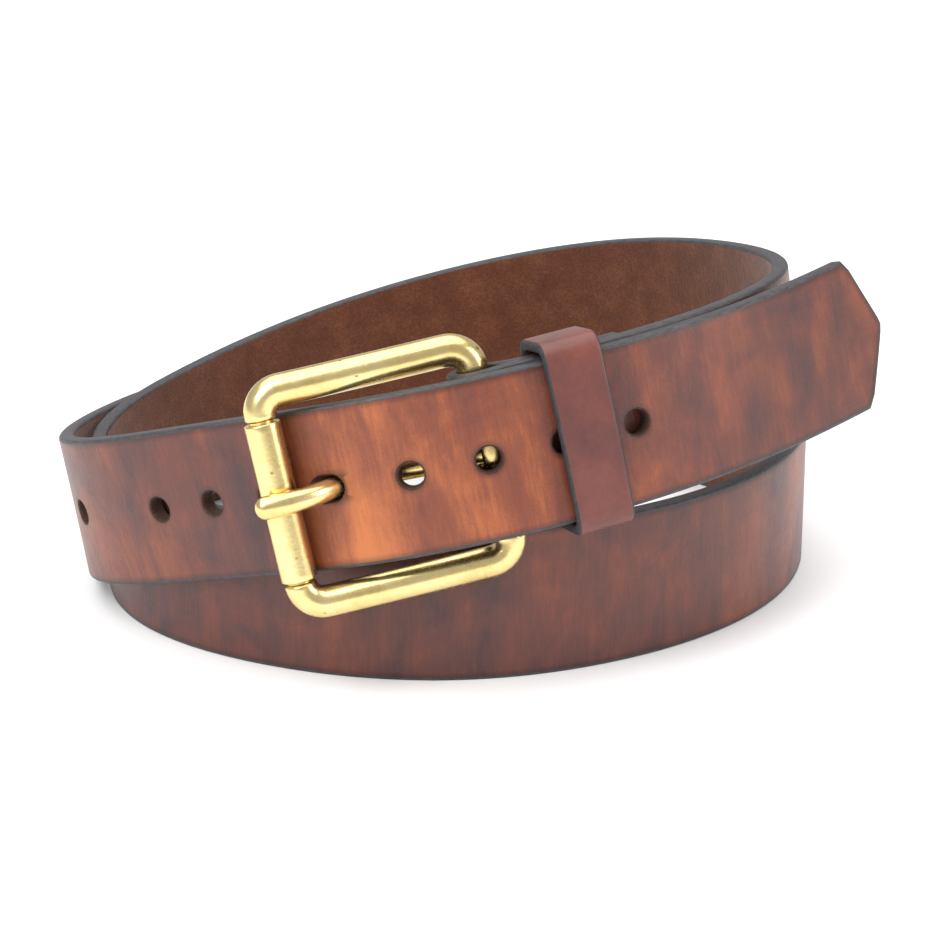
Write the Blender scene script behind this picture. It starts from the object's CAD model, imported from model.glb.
import bpy, bmesh, math
import numpy as np
from mathutils import Matrix, Vector


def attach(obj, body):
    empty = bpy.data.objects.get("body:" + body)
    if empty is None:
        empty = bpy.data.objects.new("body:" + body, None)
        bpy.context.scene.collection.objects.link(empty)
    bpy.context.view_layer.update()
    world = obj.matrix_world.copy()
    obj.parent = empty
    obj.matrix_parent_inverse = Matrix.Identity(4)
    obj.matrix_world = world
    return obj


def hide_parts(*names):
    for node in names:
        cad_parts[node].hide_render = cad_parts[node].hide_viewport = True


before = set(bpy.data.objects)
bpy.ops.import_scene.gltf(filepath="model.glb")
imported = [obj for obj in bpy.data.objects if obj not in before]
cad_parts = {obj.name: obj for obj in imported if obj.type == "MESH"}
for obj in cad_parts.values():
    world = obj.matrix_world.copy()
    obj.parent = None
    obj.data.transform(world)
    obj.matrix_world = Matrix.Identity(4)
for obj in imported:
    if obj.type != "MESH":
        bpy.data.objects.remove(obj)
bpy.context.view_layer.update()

# ------------------------------------------------------------------ strap
# One strip of 4.2 mm full-grain harness leather, 39.6 mm wide, cut flat, punched and slotted,
# its edges bevelled and burnished black, then skived and folded back round the heel bar and
# coiled twice. Lengths are in mm: along the strip from the heel bar, across it, through it.
WIDTH, THICK, FOLD = 39.6, 4.2, 2.8
POINT, TURN_BACK, ROUND_END, SKIVE, SETTLE = 10.5, 35.0, 16.0, 16.0, 12.0
HOLE, PITCH, FIRST_HOLE, LONE_HOLE = 3.1, 18.4, 86.2, 251.8
SCREW_PLACE, SCREW_OFFSET, SCREW_HOLE = 42.0, 9.0, 4.4
HEEL_BAR, HEEL_PLAY, HEEL_DEPTH, LAYER_GAP = 3.6, 0.25, 4.5, 0.3
EDGE_BEVEL, HOLE_BEVEL = 0.9, 0.5
guide = np.array([
    (6.2, -167.1, 61.9, -10.8), (55.3, -146.8, 70.1, -10.2), (83.0, -107.6, 71.7, -9.6),
    (78.4, -59.6, 67.0, -5.1), (49.0, -20.9, 59.5, 0.1), (4.5, -2.7, 47.9, 4.3),
    (-42.9, -9.3, 35.1, 7.0), (-81.7, -38.3, 24.6, 7.5), (-99.8, -83.8, 20.4, 5.7),
    (-87.6, -122.0, 20.0, 0.6), (-51.7, -150.7, 20.0, 0.0), (-4.1, -160.5, 20.0, 0.4),
    (42.9, -145.2, 20.0, -0.6), (80.5, -108.6, 20.0, -1.1), (93.0, -57.3, 20.0, -0.2),
    (70.0, -11.3, 20.0, -0.1), (23.9, 10.6, 20.0, 0.2), (-27.4, 5.1, 20.05, 2.8),
    (-71.8, -21.0, 20.3, 6.2), (-100.9, -62.7, 20.5, 8.7), (-102.2, -110.8, 27.1, 8.5),
    (-63.7, -150.5, 43.3, 2.2), (-18.5, -171.8, 57.0, -6.9), (26.9, -166.3, 65.7, -9.9),
    (67.7, -143.9, 71.7, -10.2), (105.7, -108.2, 77.3, -14.6)])
guide[:, :3] += (1.85, 82.6, -0.3)


def spaced(points):
    """distance of each point from the first, going from point to point"""
    return np.concatenate(([0.0], np.cumsum(np.linalg.norm(np.diff(points, axis=0), axis=1))))


def spline(points, knots):
    """natural cubic spline: a function that gives the places and slopes at some distances"""
    gaps = np.diff(knots)
    size = len(knots)
    system, pull = np.eye(size), np.zeros(points.shape)
    for i in range(1, size - 1):
        system[i, i - 1:i + 2] = gaps[i - 1], 2 * (gaps[i - 1] + gaps[i]), gaps[i]
        pull[i] = 6 * ((points[i + 1] - points[i]) / gaps[i] - (points[i] - points[i - 1]) / gaps[i - 1])
    bend = np.linalg.solve(system, pull)

    def at(u):
        i = np.clip(np.searchsorted(knots, u) - 1, 0, size - 2)
        h = gaps[i][:, None]
        a = (knots[i + 1] - u)[:, None] / h
        b = 1 - a
        curve = ((a ** 3 - a) * bend[i] + (b ** 3 - b) * bend[i + 1]) * h * h / 6
        lean = ((3 * b * b - 1) * bend[i + 1] - (3 * a * a - 1) * bend[i]) * h / 6
        return a * points[i] + b * points[i + 1] + curve, (points[i + 1] - points[i]) / h + lean
    return at


def unit(rows):
    return rows / np.linalg.norm(rows, axis=1)[:, None]


knots = spaced(guide[:, :3])
line, slope = spline(guide, knots)(np.linspace(0, knots[-1], 4001))
along = unit(slope[:, :3])
level = unit(np.stack((along[:, 1], -along[:, 0], 0 * along[:, 0]), 1))
up = np.cross(level, along)
lean = np.radians(line[:, 3])[:, None]
across = up * np.cos(lean) + level * np.sin(lean)
out = level * np.cos(lean) - up * np.sin(lean)
length = spaced(line[:, :3])
course = np.hstack((line[:, :3], along, out, across))
TOTAL = length[-1]


def strap_at(s):
    """centre of the strap s mm from the heel bar, and its along, out and across directions"""
    rows = np.stack([np.interp(s, length, column) for column in course.T], -1)
    return rows[..., 0:3], rows[..., 3:6], rows[..., 6:9], rows[..., 9:12]


START, ALONG, OUT, ACROSS = strap_at(0.0)
HEEL = START - OUT * HEEL_DEPTH
WRAP = HEEL_BAR + HEEL_PLAY + FOLD / 2
TURN = math.pi * WRAP
FIRST = -TURN - TURN_BACK - ROUND_END
STEP = WRAP - HEEL_DEPTH + FOLD / 2 - THICK / 2


def ease(x):
    x = np.clip(x, 0, 1)
    return x * x * (3 - 2 * x)


def bent(t, b, n):
    """Where a point of the flat strip ends up: t along, b across, n through, in mm."""
    t, b, n = t[:, None], b[:, None], n[:, None]
    s = np.where(t >= 0, t, np.maximum(-TURN - t, 0))
    centre, _, away, over = strap_at(s[:, 0])
    full = ease(t / SKIVE)
    thick = FOLD + (THICK - FOLD) * full
    run = centre + over * b + away * (THICK / 2 + STEP * (1 - full) - thick / 2 + n * thick / THICK)
    angle = math.pi / 2 - t / WRAP
    wall = ALONG * np.cos(angle) + OUT * np.sin(angle)
    arc = HEEL + wall * (WRAP + n * FOLD / THICK) + ACROSS * b
    settled = ease(s / SETTLE)
    deep = -(HEEL_DEPTH + WRAP) * (1 - settled) - (THICK / 2 + LAYER_GAP + FOLD / 2) * settled
    back = centre + over * b + away * (deep - n * FOLD / THICK)
    place = np.where(t >= 0, run, np.where(t > -TURN, arc, back))
    place[:, 2] = np.maximum(place[:, 2], 0)
    return place * 0.001


# openings in the flat strip: middle along, half patch, middle across, half patch, half length, radius
CELL, SLIP, SLANT = 2.05, 0.1, 2.5
PATCH = 2 * CELL
SLOT_PATCH, SLOT_HALF, SLOT_RADIUS = 22.55, 20.75, 3.8
SCREW_PATCH = 4.9
HOLE_IN_USE = TOTAL - FIRST_HOLE - 4 * PITCH
openings = [(TOTAL - FIRST_HOLE - PITCH * k, PATCH, 0, PATCH, HOLE, HOLE) for k in range(8) if k != 4]
openings += [(TOTAL - LONE_HOLE, PATCH, 0, PATCH, HOLE, HOLE),
             (HOLE_IN_USE + SLIP, 2 * PATCH, 0, PATCH, 4.4, HOLE),
             (-TURN / 2, SLOT_PATCH, 0, PATCH, SLOT_HALF, SLOT_RADIUS)]
openings += [(SCREW_PLACE, SCREW_PATCH, y, SCREW_PATCH, SCREW_HOLE, SCREW_HOLE)
             for y in (SCREW_OFFSET, -SCREW_OFFSET)]
stops = sorted({(m - g, m + g, round(2 * g / (CELL / 2 if g > 20 else CELL))) for m, g, *_ in openings})
columns = [FIRST]
for low, high, cells in stops + [(TOTAL, TOTAL, 0)]:
    cells_before = max(1, math.ceil((low - columns[-1]) / 2.4))
    columns += list(np.linspace(columns[-1], low, cells_before + 1)[1:])
    if cells:
        columns += list(np.linspace(low, high, cells + 1)[1:])
rows = [0, CELL, PATCH, 6.55, 9.0, 11.45, 13.9, 16.8, WIDTH / 2]
rows = [-r for r in rows[:0:-1]] + rows

strip = bmesh.new()
bmesh.ops.create_grid(strip, x_segments=len(columns) - 1, y_segments=16, size=0.5)
for v in strip.verts:
    v.co = (columns[round((v.co.x + 0.5) * (len(columns) - 1))], rows[round((v.co.y + 0.5) * 16)], THICK / 2)
for middle, reach, height, rise, half, radius in openings:
    inside = [f for f in strip.faces if abs(f.calc_center_median().x - middle) < reach
              and abs(f.calc_center_median().y - height) < rise]
    bmesh.ops.delete(strip, geom=inside, context="FACES")
    rim = [e for e in strip.edges if e.is_boundary and all(
        abs(v.co.x - middle) < reach + 0.01 and abs(v.co.y - height) < rise + 0.01 for v in e.verts)]
    bmesh.ops.subdivide_edges(strip, edges=rim, cuts=1)
    rim = [e for e in strip.edges if e.is_boundary and all(
        abs(v.co.x - middle) < reach + 0.01 and abs(v.co.y - height) < rise + 0.01 for v in e.verts)]
    grown = bmesh.ops.extrude_edge_only(strip, edges=rim)["geom"]
    for v in grown:
        if isinstance(v, bmesh.types.BMVert):
            dx, dy = v.co.x - middle, v.co.y - height
            core = max(radius - half, min(half - radius, dx))
            stretch = radius / math.hypot(dx - core, dy)
            v.co.x, v.co.y = middle + core + (dx - core) * stretch, height + dy * stretch

# the English point at one end, the half-round end of the turn-back at the other
for v in strip.verts:
    if v.co.x > TOTAL - 20:
        side = abs(v.co.y) / (WIDTH / 2)
        end = TOTAL - POINT * (math.hypot(side, 0.05) - 0.05) - 1.1 * max(0, (side - 0.86) / 0.14) ** 2
        v.co.x = TOTAL - 20 + (v.co.x - TOTAL + 20) * (end - TOTAL + 20) / 20
    elif v.co.x < -TURN - 20:
        end = TURN_BACK + ROUND_END * math.sqrt(1 - (v.co.y / (WIDTH / 2 + 0.1)) ** 2)
        v.co.x = -TURN - 20 + (v.co.x + TURN + 20) * (end - 20) / (TURN_BACK + ROUND_END - 20)
grown = bmesh.ops.extrude_face_region(strip, geom=strip.faces[:])["geom"]
bmesh.ops.translate(strip, verts=[v for v in grown if isinstance(v, bmesh.types.BMVert)],
                    vec=(0, 0, -THICK))
bmesh.ops.recalc_face_normals(strip, faces=strip.faces[:])
# the tongue passes the hole in use at a slant, so the hole's wall leans the same way
for v in strip.verts:
    dx, dy = v.co.x - HOLE_IN_USE - SLIP, v.co.y
    if abs(dx) < 2 * PATCH - 0.05 and abs(dy) < PATCH - 0.05:
        v.co.x -= SLANT * v.co.z / (THICK / 2)


def in_opening(p, margin=0.3):
    return any(abs(p.x - m) < g - 0.1 and abs(p.y - y) < r + margin for m, g, y, _, _, r in openings)


corners = [e for e in strip.edges if e.is_manifold
           and abs(e.link_faces[0].normal.z - e.link_faces[1].normal.z) > 0.7]
outline = [e for e in corners if not in_opening((e.verts[0].co + e.verts[1].co) / 2)]
punched = [e for e in corners if in_opening((e.verts[0].co + e.verts[1].co) / 2)]
for edges, offset in ((outline, EDGE_BEVEL), (punched, HOLE_BEVEL)):
    bmesh.ops.bevel(strip, geom=[e for e in edges if e.is_valid], offset=offset, segments=3, profile=0.5,
                    affect="EDGES", material=-1)
strip.normal_update()
for f in strip.faces:
    f.smooth = True
    f.material_index = 0 if f.normal.z > 0.97 else 2 if f.normal.z < -0.97 else 1
    if f.material_index == 1 and in_opening(f.calc_center_median(), 0.7):
        f.material_index = 3
sheet = strip.verts.layers.float_vector.new("sheet")
rim_gap = strip.verts.layers.float.new("rim_gap")
warm = strip.verts.layers.float.new("warm")
for v in strip.verts:
    t, y, n = v.co
    v[sheet] = (t, y, n)
    gap = min(WIDTH / 2 - abs(y), TOTAL - POINT * abs(y) / (WIDTH / 2) - t, t - FIRST)
    for m, _, c, _, half, r in openings:
        if abs(t - m) < half + 3:
            core = max(r - half, min(half - r, t - m))
            gap = min(gap, math.hypot(t - m - core, y - c) - r + 0.7)
    v[rim_gap] = max(0.0, gap)
    v[warm] = (0.34 * math.exp(-((t - 1108) / 17) ** 2) * (1 - 0.012 * y)
               + 0.12 * math.exp(-((t - 1139) / 22) ** 2)
               - 0.10 * math.exp(-((t - 1066) / 26) ** 2) - 0.13 * math.exp(-((t - 480) / 110) ** 2)
               - 0.06 * math.exp(-((t - 1230) / 30) ** 2))


def material(name, color, metallic=0.0, roughness=0.5, **sockets):
    m = bpy.data.materials.new(name)
    m.use_nodes = True
    shader = m.node_tree.nodes["Principled BSDF"]
    shader.inputs["Base Color"].default_value = (*color, 1)
    shader.inputs["Metallic"].default_value = metallic
    shader.inputs["Roughness"].default_value = roughness
    for key, value in sockets.items():
        shader.inputs[key.replace("_", " ")].default_value = value
    return m


def add(m, kind, inputs=None, **settings):
    node = m.node_tree.nodes.new(kind)
    for key, value in settings.items():
        setattr(node, key, value)
    for key, value in (inputs or {}).items():
        if isinstance(value, bpy.types.NodeSocket):
            m.node_tree.links.new(value, node.inputs[key])
        else:
            node.inputs[key].default_value = value
    return node


def noise(m, where, scale, detail=3.0, rough=0.5, stretch=(1, 1, 1), offset=(0, 0, 0), **more):
    place = add(m, "ShaderNodeMapping", {"Vector": where, "Scale": stretch, "Location": offset})
    return add(m, "ShaderNodeTexNoise", {"Vector": place.outputs[0], "Scale": scale, "Detail": detail,
                                         "Roughness": rough, **more}).outputs["Fac"]


def sums(m, base, *terms):
    """base + each (value, amount), value counted from its middle"""
    total = base
    for value, amount in terms:
        node = add(m, "ShaderNodeMath", {0: value, 1: amount, 2: -0.5 * amount}, operation="MULTIPLY_ADD")
        total = add(m, "ShaderNodeMath", {0: node.outputs[0], 1: total}, operation="ADD").outputs[0]
    return total


def ramp(m, value, *stops):
    node = add(m, "ShaderNodeValToRGB", {"Fac": value})
    while len(node.color_ramp.elements) < len(stops):
        node.color_ramp.elements.new(0.5)
    for element, (position, color) in zip(node.color_ramp.elements, stops):
        element.position = position
        element.color = (*color, 1)
    return node.outputs["Color"]


def join(m, socket, value):
    m.node_tree.links.new(value, m.node_tree.nodes["Principled BSDF"].inputs[socket])


def relief(m, depth, *heights):
    """one Bump node for each (height, strength), one after the other; depth in metres"""
    normal = None
    for height, strength in heights:
        inputs = {"Height": height, "Strength": strength, "Distance": depth}
        if normal is not None:
            inputs["Normal"] = normal
        normal = add(m, "ShaderNodeBump", inputs).outputs["Normal"]
    join(m, "Normal", normal)


grain = material("strap_grain", (0.2, 0.05, 0.02), roughness=0.4, Coat_Weight=0.18, Coat_Roughness=0.32,
                 Specular_IOR_Level=0.45)
where = add(grain, "ShaderNodeAttribute", attribute_name="sheet").outputs["Vector"]
warmth = add(grain, "ShaderNodeAttribute", attribute_name="warm").outputs["Fac"]
rim = add(grain, "ShaderNodeAttribute", attribute_name="rim_gap").outputs["Fac"]
tone = sums(grain, 0.42, (noise(grain, where, 1.0, 4, 0.55, (0.085, 0.026, 0), Distortion=0.5), 0.95),
            (noise(grain, where, 1.0, 3, 0.6, (0.045, 0.05, 0), (3, 8, 0), Distortion=0.8), 0.55),
            (noise(grain, where, 1.0, 3, 0.6, (1.1, 0.1, 0), (5, 2, 0)), 0.28),
            (noise(grain, where, 2.2, 2, 0.6), 0.16))
tone = add(grain, "ShaderNodeMath", {0: tone, 1: warmth}, operation="ADD").outputs[0]
dye = ramp(grain, tone, (0.12, (0.052, 0.019, 0.019)), (0.38, (0.122, 0.030, 0.019)),
           (0.60, (0.215, 0.052, 0.021)), (0.95, (0.50, 0.145, 0.038)))
shore = add(grain, "ShaderNodeMapRange", {"Value": rim, "From Min": 0.6, "From Max": 2.4,
                                          "To Min": 0.35, "To Max": 1.0}).outputs[0]
dye = add(grain, "ShaderNodeMix", {"Factor": 1.0, 6: dye, 7: shore}, data_type="RGBA",
          blend_type="MULTIPLY").outputs[2]
join(grain, "Base Color", dye)
join(grain, "Roughness", sums(grain, 0.42, (noise(grain, where, 0.25, 3), 0.16),
                              (noise(grain, where, 1.6, 2), 0.12)))
pebble = add(grain, "ShaderNodeTexVoronoi", {"Vector": where, "Scale": 1.35},
             feature="SMOOTH_F1").outputs["Distance"]
relief(grain, 0.00016, (noise(grain, where, 1.0, 3, 0.6, (1.5, 0.45, 0)), 0.35), (pebble, 0.32),
       (noise(grain, where, 3.2, 2), 0.22))

edge = material("strap_edge", (0.035, 0.033, 0.036), roughness=0.5, Specular_IOR_Level=0.5)
where = add(edge, "ShaderNodeAttribute", attribute_name="sheet").outputs["Vector"]
join(edge, "Base Color", ramp(edge, noise(edge, where, 0.9, 4, 0.7, (0.5, 1, 2.2)),
                              (0.3, (0.020, 0.018, 0.020)), (0.62, (0.060, 0.055, 0.060)),
                              (0.85, (0.11, 0.095, 0.09))))
relief(edge, 0.0002, (noise(edge, where, 1.6, 4, 0.7, (0.4, 1, 2.5)), 0.5))

flesh = material("strap_flesh", (0.105, 0.035, 0.016), roughness=0.93, Sheen_Weight=0.25,
                 Specular_IOR_Level=0.2)
where = add(flesh, "ShaderNodeAttribute", attribute_name="sheet").outputs["Vector"]
join(flesh, "Base Color", ramp(flesh, sums(flesh, 0.5, (noise(flesh, where, 1.6, 5, 0.75), 0.9),
                                           (noise(flesh, where, 0.12, 3, 0.6), 0.5)),
                               (0.2, (0.055, 0.018, 0.008)), (0.5, (0.112, 0.034, 0.014)),
                               (0.85, (0.23, 0.085, 0.036))))
relief(flesh, 0.0003, (noise(flesh, where, 1.4, 5, 0.75), 0.8),
       (noise(flesh, where, 0.5, 3, 0.6, (1, 0.4, 0)), 0.5))

core = material("strap_core", (0.07, 0.028, 0.013), roughness=0.85)
where = add(core, "ShaderNodeAttribute", attribute_name="sheet").outputs["Vector"]
join(core, "Base Color", ramp(core, noise(core, where, 1.8, 4, 0.7), (0.3, (0.018, 0.009, 0.007)),
                              (0.6, (0.065, 0.024, 0.011)), (0.85, (0.15, 0.065, 0.028))))
relief(core, 0.0002, (noise(core, where, 2.0, 4, 0.7), 0.6))


def finished(name, mesh, materials, body, slot, *nodes):
    """turn the bmesh into an object at the origin that rides on its body and stands for its nodes"""
    data = bpy.data.meshes.new(name)
    mesh.to_mesh(data)
    mesh.free()
    for m in materials:
        data.materials.append(m)
    piece = bpy.data.objects.new(name, data)
    bpy.context.scene.collection.objects.link(piece)
    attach(piece, body)
    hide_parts(*nodes)
    return piece


flat = np.array([v.co for v in strip.verts])
for v, place in zip(strip.verts, bent(flat[:, 0], flat[:, 1], flat[:, 2])):
    v.co = place
bmesh.ops.recalc_face_normals(strip, faces=strip.faces[:])
finished("strap_leather", strip, (grain, edge, flesh, core), "belt", "leather", "strap")

# ------------------------------------------------------------------ buckle frame
# One loop of solid brass, its side bars 7.9 mm thick and its heel bar 7.2 mm, with soft corners.
# The front bar necks down to carry the roller; cast, tumbled and hand polished.
FRAME_REACH, FRAME_DROP, FRAME_SHIFT = 51.1, 6.4, 0.6
BEND, TALL, BAR, NECK = 5.6, 26.2, 3.95, 2.92
NECK_HALF, HEEL_HALF, ARCH = 19.9, 20.1, 0.5
MIDDLE = HEEL - ACROSS * FRAME_SHIFT
FRONT = MIDDLE - ALONG * FRAME_REACH - OUT * FRAME_DROP
SPAN = float(np.linalg.norm(MIDDLE - FRONT))
frame_x = (MIDDLE - FRONT) / SPAN
frame_z = ACROSS
frame_y = np.cross(frame_z, frame_x)


def placement(origin, x, y, z, unit_mm=0.001):
    m = Matrix((x, y, z)).transposed().to_4x4()
    m.translation = Vector(origin) * 0.001
    return m @ Matrix.Scale(unit_mm, 4)


def drawn(mesh, loop, places):
    """draw a loop of edges through a list of placements, beginning at the first"""
    bmesh.ops.transform(mesh, matrix=places[0], verts=list({v for e in loop for v in e.verts}))
    for before, after in zip(places, places[1:]):
        grown = bmesh.ops.extrude_edge_only(mesh, edges=loop)["geom"]
        fresh = {g for g in grown if isinstance(g, bmesh.types.BMVert)}
        loop = [g for g in grown if isinstance(g, bmesh.types.BMEdge) and fresh.issuperset(g.verts)]
        bmesh.ops.transform(mesh, matrix=after @ before.inverted(), verts=list(fresh))
    return loop


def tidy(mesh, sharp=40):
    bmesh.ops.remove_doubles(mesh, verts=mesh.verts[:], dist=1e-6)
    bmesh.ops.recalc_face_normals(mesh, faces=mesh.faces[:])
    for f in mesh.faces:
        f.smooth = True
    for e in mesh.edges:
        if e.is_manifold and e.calc_face_angle(0) > math.radians(sharp):
            e.smooth = False


def bar_places(walk):
    """one ring for each x, z, heading in degrees, radius and arch of the way round the frame"""
    places = []
    for x, z, heading, radius, arch in walk:
        c, s = math.cos(math.radians(heading)), math.sin(math.radians(heading))
        places.append(Matrix(((s * radius, 0, c, x), (0, radius, 0, -arch),
                              (-c * radius, 0, s, z), (0, 0, 0, 1))))
    return places


walk = [(0, z, 90, NECK, 0) for z in np.linspace(-NECK_HALF, NECK_HALF, 19)]
walk += [(0, 20.1, 90, 3.2, 0), (0, 20.3, 90, 3.62, 0), (0, 20.5, 90, 3.84, 0)]
walk += [(BEND - BEND * math.cos(q), TALL - BEND + BEND * math.sin(q), 90 - math.degrees(q), BAR, 0)
         for q in np.linspace(0.02, math.pi / 2, 14)]
walk += [(x, TALL, 0, BAR, ARCH * math.sin(math.pi * (x - BEND) / (SPAN - 2 * BEND)))
         for x in np.linspace(BEND, SPAN - BEND, 24)[1:-1]]
walk += [(SPAN - BEND + BEND * math.sin(q), TALL - BEND + BEND * math.cos(q), -math.degrees(q), BAR, 0)
         for q in np.linspace(0, math.pi / 2, 14)]
walk += [(SPAN, z, -90, HEEL_BAR, 0) for z in np.linspace(HEEL_HALF, 0, 8)]
walk += [(x, -z, 180 - heading, radius, arch) for x, z, heading, radius, arch in walk[::-1][1:]
         if z > 0 or x > SPAN - 1]
walk += [walk[0]]
bars = bmesh.new()
bmesh.ops.create_circle(bars, segments=40, radius=1.0)
drawn(bars, bars.edges[:], bar_places(walk))
bmesh.ops.transform(bars, matrix=placement(FRONT, frame_x, frame_y, frame_z), verts=bars.verts[:])
tidy(bars)

brass = material("brass_polished", (0.80, 0.62, 0.27), metallic=1.0, roughness=0.24)
where = add(brass, "ShaderNodeTexCoord").outputs["Object"]
pits = add(brass, "ShaderNodeTexVoronoi", {"Vector": where, "Scale": 210.0,
                                           "Randomness": 1.0}).outputs["Distance"]
pits = add(brass, "ShaderNodeMapRange", {"Value": pits, "From Min": 0.05, "From Max": 0.13}).outputs[0]
patchy = noise(brass, where, 240.0, 4, 0.65)
clear = add(brass, "ShaderNodeMapRange", {"Value": patchy, "From Min": 0.52, "From Max": 0.60, "To Min": 1.0,
                                          "To Max": 0.0}).outputs[0]
pits = add(brass, "ShaderNodeMath", {0: pits, 1: clear}, operation="MAXIMUM").outputs[0]
skin = ramp(brass, sums(brass, 0.5, (noise(brass, where, 90.0, 4, 0.6), 0.9),
                        (noise(brass, where, 600.0, 3, 0.6), 0.4)),
            (0.15, (0.66, 0.47, 0.17)), (0.5, (0.83, 0.65, 0.29)), (0.85, (0.91, 0.76, 0.42)))
skin = add(brass, "ShaderNodeMix", {"Factor": pits, 6: (0.20, 0.11, 0.035, 1), 7: skin},
           data_type="RGBA").outputs[2]
join(brass, "Base Color", skin)
join(brass, "Roughness", sums(brass, 0.25, (noise(brass, where, 130.0, 4, 0.65), 0.14),
                              (noise(brass, where, 900.0, 2), 0.1)))
relief(brass, 0.00008, (noise(brass, where, 160.0, 3, 0.6), 0.35),
       (noise(brass, where, 1500.0, 2, 0.6), 0.25), (pits, 0.5))
finished("buckle_bars", bars, (brass,), "buckle", "brass", "buckle_frame")

# ------------------------------------------------------------------ roller
# A sleeve rolled from thin brass sheet round the neck of the front bar, its seam left open by
# a hair and its ends dressed; it turns freely on the bar.
ROLLER, ROLLER_WALL, ROLLER_LONG, SEAM, SEAM_DEG, DRESSED = 4.4, 1.4, 38.8, 0.3, 35, 0.35
sleeve = bmesh.new()
bmesh.ops.create_grid(sleeve, x_segments=1, y_segments=24, size=0.5)
for v in sleeve.verts:
    v.co = (ROLLER - ROLLER_WALL / 2 + v.co.x * ROLLER_WALL, 0, v.co.y * ROLLER_LONG)
ends = [v for v in sleeve.verts if abs(v.co.z) > ROLLER_LONG / 2 - 0.1]
bmesh.ops.bevel(sleeve, geom=ends, offset=DRESSED, segments=3, profile=0.5, affect="VERTICES", material=-1)
seam_half = math.asin(SEAM / 2 / ROLLER)
bmesh.ops.rotate(sleeve, verts=sleeve.verts[:], matrix=Matrix.Rotation(seam_half, 3, "Z"))
bmesh.ops.spin(sleeve, geom=sleeve.faces[:] + sleeve.edges[:] + sleeve.verts[:], cent=(0, 0, 0),
               axis=(0, 0, 1), dvec=(0, 0, 0), angle=2 * math.pi - 2 * seam_half, steps=72,
               use_merge=False, use_duplicate=False)
seam = placement(FRONT, frame_x, frame_y, frame_z) @ Matrix.Rotation(math.radians(SEAM_DEG), 4, "Z")
bmesh.ops.transform(sleeve, matrix=seam, verts=sleeve.verts[:])
tidy(sleeve, 35)
rolled = brass.copy()
rolled.name = "roller_brass"
finished("roller_sleeve", sleeve, (rolled,), "roller", "roller_brass", "roller")

# ------------------------------------------------------------------ tongue
# A 5.2 mm brass rod with a loop at one end that hangs on the heel bar. It passes behind the
# tail, comes out through one hole and lies on the roller, its end rounded and a little flat.
ROD, FLATTER, BROADER = 2.6, 0.12, 0.25
LOOP_MID, LOOP_WALL, LOOP_WIDE = 4.99, 2.62, 5.6
bends = np.array([(-3.0, 3.7), (-10.5, 1.4), (-19.0, -1.8), (-26.6, -4.9), (-32.6, -6.2), (-37.1, -4.6),
                  (-42.1, -1.3), (-47.1, 0.4), (-51.6, 0.75), (-55.6, 0.0)])
stages = spaced(bends)
rod = spline(bends, stages)
reach = stages[-1]
prong = bmesh.new()
bmesh.ops.create_circle(prong, segments=36, radius=1.0)
places = []
for w in list(np.linspace(0, reach, 90)) + [reach + ROD * math.sin(q) for q in np.linspace(0.12, 1.555, 12)]:
    spots, ways = rod(np.array([min(w, reach)]))
    way = unit(ways)[0]
    spot = spots[0] + way * max(0.0, w - reach)
    flatten = ease((w - 42) / 10)
    dome = math.sqrt(max(0.0, 1 - ((w - reach) / ROD) ** 2)) if w > reach else 1.0
    centre = HEEL + ALONG * spot[0] + OUT * spot[1]
    heading = ALONG * way[0] + OUT * way[1]
    side = np.cross(heading, ACROSS)
    places.append(placement(centre, side * (ROD - FLATTER * flatten) * max(dome, 0.02),
                            ACROSS * (ROD + BROADER * flatten) * max(dome, 0.02), heading))
last = drawn(prong, prong.edges[:], places)
bmesh.ops.contextual_create(prong, geom=last)
loop = bmesh.new()
bmesh.ops.create_grid(loop, x_segments=1, y_segments=1, size=0.5)
for v in loop.verts:
    v.co = (LOOP_MID + v.co.x * LOOP_WALL, 0, v.co.y * LOOP_WIDE)
bmesh.ops.bevel(loop, geom=loop.verts[:], offset=0.9, segments=4, profile=0.5, affect="VERTICES", material=-1)
bmesh.ops.delete(loop, geom=loop.faces[:], context="FACES_ONLY")
bmesh.ops.spin(loop, geom=loop.edges[:] + loop.verts[:], cent=(0, 0, 0), axis=(0, 0, 1), dvec=(0, 0, 0),
               angle=2 * math.pi, steps=64, use_merge=True, use_duplicate=False)
bmesh.ops.transform(loop, matrix=placement(HEEL, ALONG, np.cross(ACROSS, ALONG), ACROSS),
                    verts=loop.verts[:])
loop_data = bpy.data.meshes.new("loop")
loop.to_mesh(loop_data)
loop.free()
prong.from_mesh(loop_data)
bpy.data.meshes.remove(loop_data)
tidy(prong)
finished("tongue_rod", prong, (brass,), "tongue", "brass", "tongue")

# ------------------------------------------------------------------ keeper
# A loop of thinner red-brown leather, 14.4 mm wide, wrapped round both layers and stapled to
# itself at the back; its two cut edges are bevelled and painted black.
BAND_WIDE, BAND_THICK, BAND_START, BAND_BEVEL = 14.4, 2.7, 13.3, 0.85
BAND_FRONT, BAND_BACK, BAND_HALF, CORNER, SAG = 7.9, 6.1, 21.0, 3.35, (0.45, 0.25)
spot, k_along, k_out, k_across = strap_at(BAND_START + BAND_WIDE / 2)
band = bmesh.new()
bmesh.ops.create_grid(band, x_segments=8, y_segments=1, size=0.5)
for v in band.verts:
    v.co = (v.co.x * BAND_WIDE, v.co.y * BAND_THICK, 0)
bmesh.ops.bevel(band, geom=[v for v in band.verts if abs(v.co.x) > BAND_WIDE / 2 - 0.1], offset=BAND_BEVEL,
                segments=4, profile=0.5, affect="VERTICES", material=-1)
bmesh.ops.delete(band, geom=band.faces[:], context="FACES_ONLY")
bmesh.ops.delete(band, geom=[e for e in band.edges if e.is_wire and all(abs(v.co.x) < 6.6 for v in e.verts)
                             and abs(e.verts[0].co.x - e.verts[1].co.x) < 0.1], context="EDGES")
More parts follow.
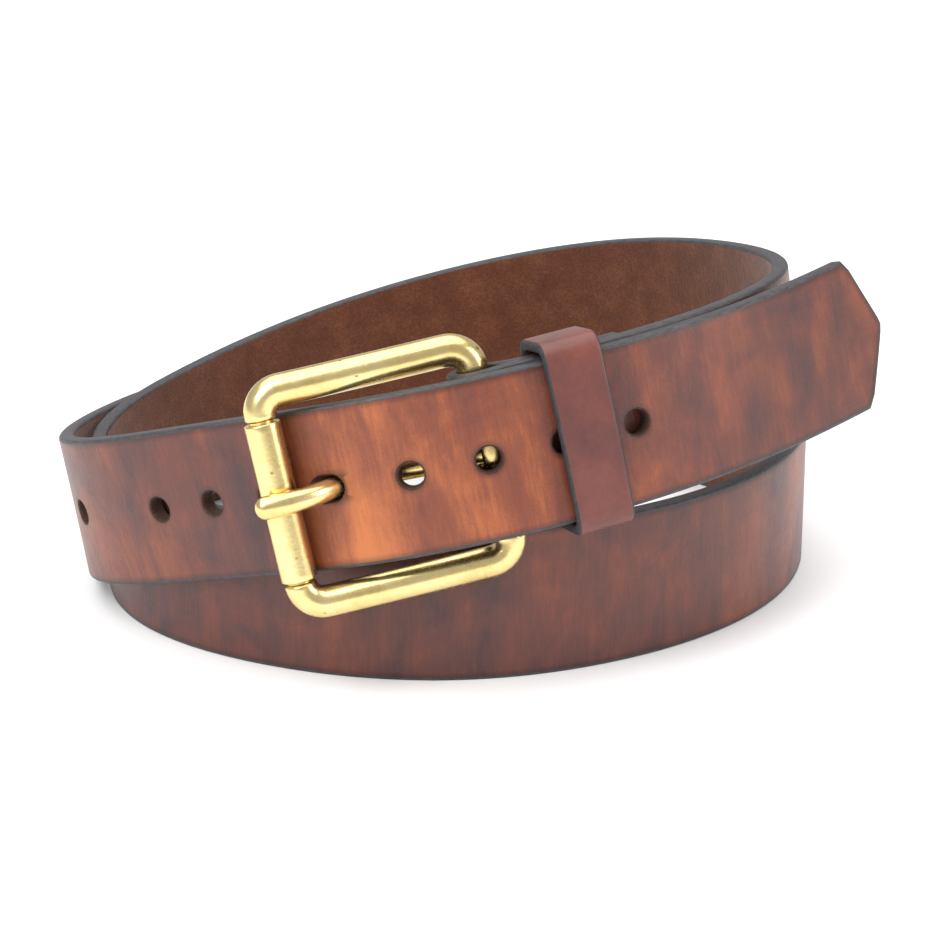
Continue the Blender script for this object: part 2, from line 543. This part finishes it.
half_y, half_z = (BAND_FRONT + BAND_BACK + BAND_THICK) / 2, BAND_HALF + BAND_THICK / 2
mid_y = (BAND_BACK - BAND_FRONT) / 2
walk = []
for quarter, (sy, sz) in enumerate(((1, 1), (-1, 1), (-1, -1), (1, -1))):
    for q in np.linspace(0, 90, 9):
        angle = math.radians(90 * quarter + q)
        walk.append((mid_y + sy * (half_y - CORNER) + CORNER * math.cos(angle),
                     sz * (half_z - CORNER) + CORNER * math.sin(angle), math.cos(angle), math.sin(angle)))
    if quarter in (1, 3):
        y, z = walk[-1][:2]
        for f in np.linspace(0, 1, 16)[1:-1]:
            walk.append((y + sy * SAG[quarter // 2] * math.sin(math.pi * f), z - 2 * z * f, sy, 0))
walk.append(walk[0])
drawn(band, band.edges[:],
      [Matrix(((1, 0, 0, 0), (0, cy, -cz, y), (0, cz, cy, z), (0, 0, 0, 1))) for y, z, cy, cz in walk])
tidy(band, 60)
for f in band.faces:
    middle = f.calc_center_median()
    f.material_index = 1 if abs(middle.x) > 6.75 or abs(f.normal.x) > 0.3 else 0
bmesh.ops.transform(band, matrix=placement(spot, k_along, -k_out, k_across), verts=band.verts[:])
bmesh.ops.recalc_face_normals(band, faces=band.faces[:])

red = material("keeper_grain", (0.14, 0.035, 0.027), roughness=0.42, Coat_Weight=0.15, Coat_Roughness=0.3)
where = add(red, "ShaderNodeTexCoord").outputs["Object"]
tone = sums(red, 0.5, (noise(red, where, 60.0, 4, 0.6), 0.9), (noise(red, where, 260.0, 3, 0.6), 0.35),
            (noise(red, where, 900.0, 2, 0.6), 0.2))
join(red, "Base Color", ramp(red, tone, (0.15, (0.055, 0.018, 0.018)), (0.5, (0.125, 0.031, 0.024)),
                             (0.85, (0.20, 0.050, 0.032))))
join(red, "Roughness", sums(red, 0.42, (noise(red, where, 400.0, 3), 0.16)))
relief(red, 0.00014, (noise(red, where, 900.0, 3, 0.6), 0.35), (noise(red, where, 2600.0, 2), 0.25))
painted = material("keeper_edge", (0.022, 0.022, 0.024), roughness=0.62)
where = add(painted, "ShaderNodeTexCoord").outputs["Object"]
join(painted, "Base Color", ramp(painted, noise(painted, where, 1100.0, 4, 0.7), (0.3, (0.012, 0.012, 0.014)),
                                 (0.62, (0.034, 0.034, 0.038)), (0.85, (0.08, 0.075, 0.075))))
relief(painted, 0.0002, (noise(painted, where, 1500.0, 4, 0.7), 0.6))
finished("keeper_band", band, (red, painted), "keeper", "keeper_leather", "keeper")

# ------------------------------------------------------------------ staples, posts and screws
# Two bent brass wires hold the keeper's ends, and two brass posts with slotted screws hold the
# turn-back to the strap; the parts keep their own shapes and take a duller, handled brass.
fastener = brass.copy()
fastener.name = "fastener_brass"
for node in ("keeper_staples", "screw_posts", "screws"):
    data = bpy.data.objects[node].data
    data.materials.clear()
    data.materials.append(fastener)

# ------------------------------------------------------------------ floor, light and camera
# A plain white floor, a broad soft light from above with two weak panels at the front, and a
# long lens.
paper = material("floor_white", (0.93, 0.93, 0.93), roughness=0.9, Specular_IOR_Level=0.1)
ground = bmesh.new()
bmesh.ops.create_grid(ground, x_segments=1, y_segments=1, size=6.0)
data = bpy.data.meshes.new("floor")
ground.to_mesh(data)
ground.free()
data.materials.append(paper)
floor = bpy.data.objects.new("floor", data)
bpy.context.scene.collection.objects.link(floor)

world = bpy.data.worlds.new("studio")
bpy.context.scene.world = world
world.use_nodes = True
world.node_tree.nodes["Background"].inputs["Color"].default_value = (1, 1, 1, 1)
world.node_tree.nodes["Background"].inputs["Strength"].default_value = 0.55


def lamp(name, kind, energy, place, target, **settings):
    light = bpy.data.lights.new(name, kind)
    light.energy = energy
    for key, value in settings.items():
        setattr(light, key, value)
    stand = bpy.data.objects.new(name, light)
    stand.location = place
    stand.rotation_euler = (Vector(target) - Vector(place)).to_track_quat("-Z", "Y").to_euler()
    bpy.context.scene.collection.objects.link(stand)


lamp("overhead", "SUN", 2.2, (-0.1, 0.1, 1.0), (0, 0, 0), angle=math.radians(75))
lamp("left_panel", "AREA", 7.0, (-0.55, -0.65, 0.75), (0, 0, 0.04), shape="RECTANGLE", size=0.5, size_y=0.7)
lamp("right_panel", "AREA", 3.0, (0.75, -0.35, 0.45), (0, 0, 0.04), shape="RECTANGLE", size=0.35, size_y=0.6)

eye = bpy.data.cameras.new("camera")
eye.lens, eye.sensor_width = 84.4, 36.0
eye.clip_end = 50
camera = bpy.data.objects.new("camera", eye)
camera.location = (0.00185, -0.57881, 0.22742)
aim = Vector((0.00185, 0.0826, -0.0003)) - camera.location
camera.rotation_euler = aim.to_track_quat("-Z", "Y").to_euler()
bpy.context.scene.collection.objects.link(camera)
bpy.context.scene.camera = camera
bpy.context.scene.view_settings.view_transform = "Standard"
